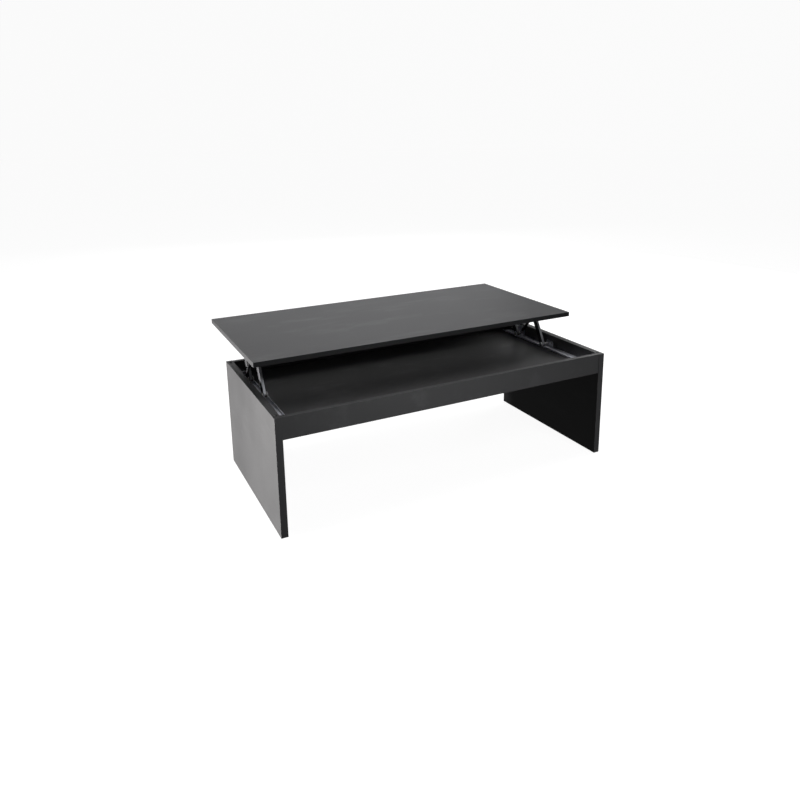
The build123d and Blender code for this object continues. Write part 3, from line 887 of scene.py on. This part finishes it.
for side in ("left", "right"):
    low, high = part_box(f"spring_coil_{side}")
    middle_x = (low[0] + high[0]) / 2
    lower = Vector((middle_x, *pivots["rear_arm_swing"][1:]))
    upper = Vector((middle_x, *pivots["lid_level"][1:]))
    along = (upper - lower).normalized()
    across = Vector((1, 0, 0))
    up = across.cross(along)
    bpy.ops.object.select_all(action="DESELECT")
    bpy.ops.curve.primitive_nurbs_path_add(location=(0, 0, 0))
    spring = bpy.context.object
    spring.name = f"spring_{side}"
    spring.data.splines.clear()
    spline = spring.data.splines.new("NURBS")
    path = wire_path((upper - lower).length)
    spline.points.add(len(path) - 1)
    for point, (x, y, z) in zip(spline.points, path):
        point.co = (*(lower + x * across + y * along + z * up), 1)
    spline.use_endpoint_u = True
    spline.order_u = 3
    spline.resolution_u = 1
    spring.data.dimensions = "3D"
    spring.data.bevel_depth = wire_radius
    spring.data.bevel_resolution = 2
    spring.data.use_fill_caps = True
    bpy.ops.object.convert(target="MESH")
    spring = bpy.context.object
    finished(spring, spring_steel)
    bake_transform(spring)
    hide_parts(f"spring_coil_{side}", f"spring_hook_{side}")

# ---------------------------------------------------------------------------
# Studio. A pale floor that runs up into a pale backdrop, and soft boxes: left,
# overhead, low and high in front, right and behind.
# ---------------------------------------------------------------------------
bpy.context.scene.view_settings.view_transform = "Standard"
studio_radius = 30.0
floor_gap = 0.0002
studio_glow = 0.94
sky_glow = 0.08
warm_white = (1.0, 0.98, 0.955)
plain_white = (1.0, 1.0, 1.0)
cool_white = (0.98, 0.985, 1.0)
pale_dark = (0.20, 0.20, 0.20, 1)
pale_light = (0.22, 0.22, 0.22, 1)
bpy.ops.object.select_all(action="DESELECT")
bpy.ops.mesh.primitive_uv_sphere_add(
    segments=48, ring_count=24, radius=studio_radius, location=(0, 0, 0)
)
studio = bpy.context.object
studio.name = "studio_floor_and_backdrop"
bpy.ops.object.mode_set(mode="EDIT")
bpy.ops.mesh.select_all(action="SELECT")
floor_middle = (0, 0, cad_box[0][2] - floor_gap)
bpy.ops.mesh.bisect(
    plane_co=floor_middle, plane_no=(0, 0, 1), use_fill=True, clear_inner=True
)
bpy.ops.mesh.select_all(action="SELECT")
bpy.ops.mesh.normals_make_consistent(inside=True)
bpy.ops.object.mode_set(mode="OBJECT")
pale = Finish("studio_pale", Roughness=0.9, IOR=1.2)
pale_tone = pale.noise(scale=0.4, detail=2.0)
pale.shade(Base_Color=pale.blend(pale_tone, pale_dark, pale_light))
pale.shader.inputs["Emission Color"].default_value = (1, 1, 1, 1)
pale.shader.inputs["Emission Strength"].default_value = studio_glow
studio.data.materials.append(pale.material)
studio.visible_diffuse = False
studio.visible_glossy = False
studio.visible_shadow = False

world = bpy.data.worlds.new("studio_world")
bpy.context.scene.world = world
world.use_nodes = True
sky = world.node_tree.nodes["Background"]
sky.inputs["Color"].default_value = (1.0, 1.0, 1.0, 1)
sky.inputs["Strength"].default_value = sky_glow


def soft_light(name, size, place, aim, power, tint):
    """A soft light, its size width by height, at place and turned towards aim."""
    bpy.ops.object.light_add(type="AREA", location=place)
    lamp = bpy.context.object
    lamp.name = name
    lamp.data.shape = "RECTANGLE"
    lamp.data.size, lamp.data.size_y = size
    lamp.data.energy = power
    lamp.data.color = tint
    lamp.rotation_euler = (Vector(aim) - Vector(place)).to_track_quat("-Z", "Y").to_euler()


for name, size, place, aim, power, tint in (
    ("left_softbox", (0.64, 0.30), (-2.5, 0.07, 0.155), (-0.6, 0.05, 0.15), 250, warm_white),
    ("overhead_softbox", (2.4, 2.0), (0.6, 0.6, 3.0), (0.2, 0.2, 0.4), 60, plain_white),
    ("front_fill", (1.2, 1.0), (1.3, -3.7, -0.5), (-0.1, 0, 0.15), 29, cool_white),
    ("front_high_softbox", (0.7, 1.4), (0.97, -2.9, 2.9), (-0.57, 0.08, 0.42), 28, cool_white),
    ("right_softbox", (3.2, 2.6), (3.8, 0.8, 1.2), (0.6, 0.1, 0.2), 110, plain_white),
    ("rear_softbox", (4.6, 1.2), (1.35, 4.8, 1.7), (0.2, 0.2, 0.45), 27, cool_white),
):
    soft_light(name, size, place, aim, power, tint)

# ---------------------------------------------------------------------------
# Camera. It stands at the front left, above the top, and looks slightly down,
# with the picture shifted down so that upright edges converge less.
# ---------------------------------------------------------------------------
camera_place = (-1.1029, -2.0906, 1.1697)
camera_turn = math.radians(-26.52)
camera_dip = math.radians(13.87)
camera_roll = math.radians(-0.83)
camera_shift = -0.125
focal_share = 0.8845
sensor = 36.0
bpy.ops.object.camera_add(location=camera_place)
camera = bpy.context.object
turn = Matrix.Rotation(camera_turn, 4, "Z")
tilt = Matrix.Rotation(math.pi / 2 - camera_dip, 4, "X")
roll = Matrix.Rotation(camera_roll, 4, "Z")
camera.matrix_world = Matrix.Translation(camera_place) @ turn @ tilt @ roll
camera.data.sensor_width = sensor
camera.data.lens = focal_share * sensor
camera.data.shift_y = camera_shift
bpy.context.scene.camera = camera
